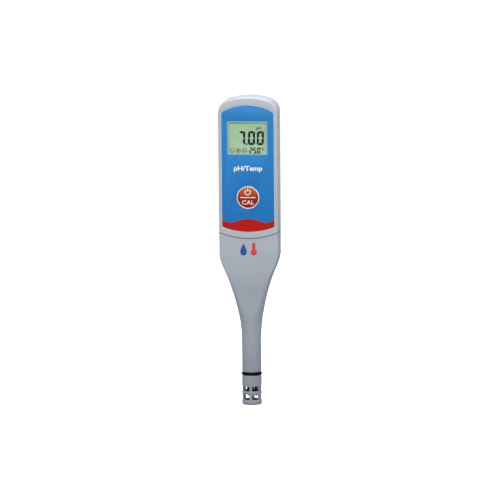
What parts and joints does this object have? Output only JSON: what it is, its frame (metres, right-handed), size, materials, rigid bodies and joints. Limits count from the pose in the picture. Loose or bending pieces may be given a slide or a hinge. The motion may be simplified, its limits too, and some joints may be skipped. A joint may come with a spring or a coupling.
{
  "type": "digital ph meter",
  "caption": "Pen-type digital pH meter with a flat display face, a round button, a rear battery door and a slotted electrode guard.",
  "frame": {"origin": "centre of the tip, at the bottom of the electrode guard", "axes": "+Z along the pen towards the top of the housing, -Y out of the display face, +X to the right of someone reading the display"},
  "size_m": [0.038, 0.0246, 0.1995],
  "materials": {
    "shell_grey": "fine satin moulded plastic",
    "lower_grey": "fine satin moulded plastic",
    "label_film": "printed polyester film, satin",
    "window_clear": "clear hard-coated acrylic",
    "display_green": "reflective liquid crystal glass",
    "button_red": "satin moulded plastic",
    "ring_white": "gloss moulded plastic",
    "rubber_black": "smooth rubber",
    "tray_dark": "moulded plastic",
    "board_green": "solder mask on glass fibre board",
    "chip_black": "moulded epoxy",
    "connector_white": "moulded nylon",
    "steel_plated": "nickel plated steel",
    "cell_wrap": "steel can with a printed sleeve",
    "glass_clear": "clear borosilicate glass",
    "silver_wire": "drawn silver",
    "ceramic_white": "porous ceramic",
    "potting_dark": "cast epoxy",
    "lead_dark": "smooth cable jacket"
  },
  "bodies": {
    "meter_body": {"front_housing": "shell_grey", "rear_housing": "shell_grey", "face_label": "label_film", "display_window": "window_clear", "lcd_panel": "display_green", "lcd_frame": "tray_dark", "zebra_strip_lower": "rubber_black", "zebra_strip_upper": "rubber_black", "main_board": "board_green", "controller_chip": "chip_black", "amplifier_chip": "chip_black", "electrode_connector": "connector_white", "switch_body": "chip_black", "button_ring": "ring_white", "battery_tray": "tray_dark", "battery_left": "cell_wrap", "battery_right": "cell_wrap", "battery_spring_left": "steel_plated", "battery_spring_right": "steel_plated", "contact_bridge": "steel_plated", "contact_positive": "steel_plated", "contact_negative": "steel_plated", "housing_screw_1": "steel_plated", "housing_screw_2": "steel_plated", "housing_screw_3": "steel_plated", "housing_screw_4": "steel_plated", "electrode_housing": "lower_grey", "body_seal": "rubber_black", "probe_o_ring": "rubber_black", "electrode_guard": "lower_grey", "glass_bulb": "glass_clear", "glass_stem": "glass_clear", "silver_electrode": "silver_wire", "temperature_sensor": "steel_plated", "reference_junction": "ceramic_white", "lower_potting_plug": "potting_dark", "upper_potting_plug": "potting_dark", "electrode_lead": "lead_dark", "sensor_lead": "lead_dark"},
    "button": {"button_cap": "button_red"},
    "plunger": {"switch_plunger": "connector_white"},
    "door": {"battery_door": "shell_grey", "door_seal": "rubber_black"},
    "lock_screw": {"door_screw": "steel_plated"}
  },
  "joints": [
    {"name": "button_press", "type": "slide", "parent": "meter_body", "child": "button", "axis": [0, 1, 0], "range_m": [0, 0.0005], "stiffness_N_per_m": 1000, "springref_m": -0.0005},
    {"name": "switch_travel", "type": "slide", "parent": "meter_body", "child": "plunger", "axis": [0, 1, 0], "range_m": [0, 0.0005]},
    {"name": "battery_door_hinge", "type": "hinge", "parent": "meter_body", "child": "door", "pos_m": [0, 0.0123, 0.12515], "axis": [-1, 0, 0], "range_deg": [0, 75]},
    {"name": "door_screw_turn", "type": "hinge", "parent": "door", "child": "lock_screw", "pos_m": [0, 0.0123, 0.1834], "axis": [0, 1, 0], "range_deg": [0, 990]}
  ],
  "couplings": [
    {"joint": "switch_travel", "follows": "button_press", "ratio": 1}
  ]
}
